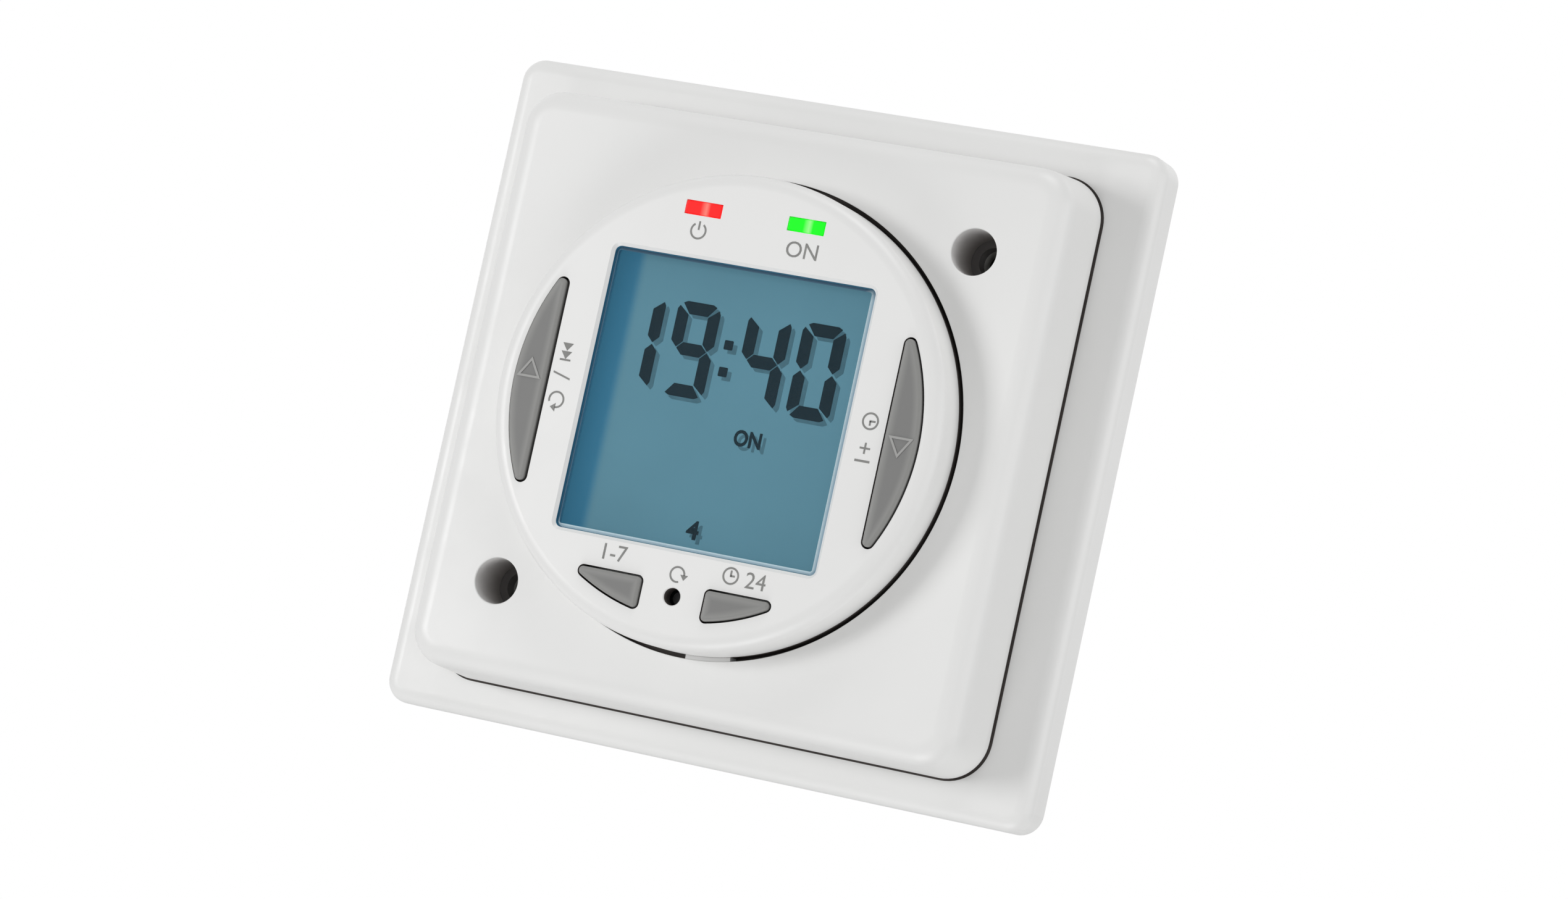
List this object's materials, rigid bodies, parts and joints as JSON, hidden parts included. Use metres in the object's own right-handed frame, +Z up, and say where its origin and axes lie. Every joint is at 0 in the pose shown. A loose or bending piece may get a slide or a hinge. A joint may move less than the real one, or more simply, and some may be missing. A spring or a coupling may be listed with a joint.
{
  "type": "timer light switch",
  "caption": "Square wall-mounted electronic time switch: plate, stepped housing, round fascia with blue display, arc and wedge keys, indicator lights and rear terminals.",
  "frame": {"origin": "centre of the wall plate's back face, in the plane of the wall", "axes": "+X to the right seen from the front, +Z up the wall, +Y into the wall, so the front faces -Y"},
  "size_m": [0.09, 0.0446, 0.086],
  "materials": {
    "white_plastic": "satin",
    "grey_plastic": "matte",
    "key_rubber": "matte",
    "mat_rubber": "matte",
    "carbon": "matte",
    "clear_lens": "polished",
    "display_glass": "polished",
    "diffuser": "satin",
    "red_pipe": "polished",
    "green_pipe": "polished",
    "circuit_board": "satin",
    "black_plastic": "matte",
    "steel": "satin",
    "brass": "satin",
    "copper": "satin",
    "relay_cover": "satin",
    "component_film": "satin",
    "component_sleeve": "satin"
  },
  "bodies": {
    "case": {"wall_plate": "white_plastic", "plate_inserts": "brass", "front_housing": "white_plastic", "timer_fascia": "white_plastic", "display_lens": "clear_lens", "lcd_glass": "display_glass", "lcd_holder": "diffuser", "backlight_guide": "diffuser", "zebra_strips": "carbon", "display_board": "circuit_board", "key_mats": "mat_rubber", "advance_dome": "mat_rubber", "boost_dome": "mat_rubber", "program_dome": "mat_rubber", "time_dome": "mat_rubber", "reset_switch": "steel", "power_light_pipe": "red_pipe", "on_light_pipe": "green_pipe", "status_leds": "diffuser", "microcontroller": "black_plastic", "clock_crystal": "steel", "backup_battery": "steel", "board_socket": "black_plastic", "board_header": "brass", "rear_case": "grey_plastic", "case_screws": "steel", "power_board": "circuit_board", "board_screws": "steel", "relay_base": "black_plastic", "relay_coil": "copper", "relay_yoke": "steel", "relay_contacts": "brass", "relay_cover": "relay_cover", "dropper_capacitor": "component_film", "smoothing_capacitor": "component_sleeve", "varistor": "component_sleeve", "fuse_resistor": "component_film", "terminal_block": "grey_plastic", "terminal_clamps": "brass", "terminal_screws": "steel"},
    "advance_button": {"advance_key": "key_rubber", "advance_pill": "carbon"},
    "boost_button": {"boost_key": "key_rubber", "boost_pill": "carbon"},
    "program_button": {"program_key": "key_rubber", "program_pill": "carbon"},
    "time_button": {"time_key": "key_rubber", "time_pill": "carbon"},
    "reset_button": {"reset_plunger": "black_plastic"},
    "relay_lever": {"relay_armature": "steel", "relay_blade": "copper"}
  },
  "joints": [
    {"name": "advance_press", "type": "slide", "parent": "case", "child": "advance_button", "axis": [0, 1, 0], "range_m": [0, 0.001], "stiffness_N_per_m": 1500, "deforming": ["advance_dome"]},
    {"name": "boost_press", "type": "slide", "parent": "case", "child": "boost_button", "axis": [0, 1, 0], "range_m": [0, 0.001], "stiffness_N_per_m": 1500, "deforming": ["boost_dome"]},
    {"name": "program_press", "type": "slide", "parent": "case", "child": "program_button", "axis": [0, 1, 0], "range_m": [0, 0.001], "stiffness_N_per_m": 1500, "deforming": ["program_dome"]},
    {"name": "time_press", "type": "slide", "parent": "case", "child": "time_button", "axis": [0, 1, 0], "range_m": [0, 0.001], "stiffness_N_per_m": 1500, "deforming": ["time_dome"]},
    {"name": "reset_press", "type": "slide", "parent": "case", "child": "reset_button", "axis": [0, 1, 0], "range_m": [0, 0.0003], "stiffness_N_per_m": 5000},
    {"name": "armature_swing", "type": "hinge", "parent": "case", "child": "relay_lever", "pos_m": [-0.0201, -0.00762, -0.00905], "axis": [0, 0, 1], "range_deg": [0, 2.8], "stiffness_Nm_per_rad": 0.05}
  ]
}
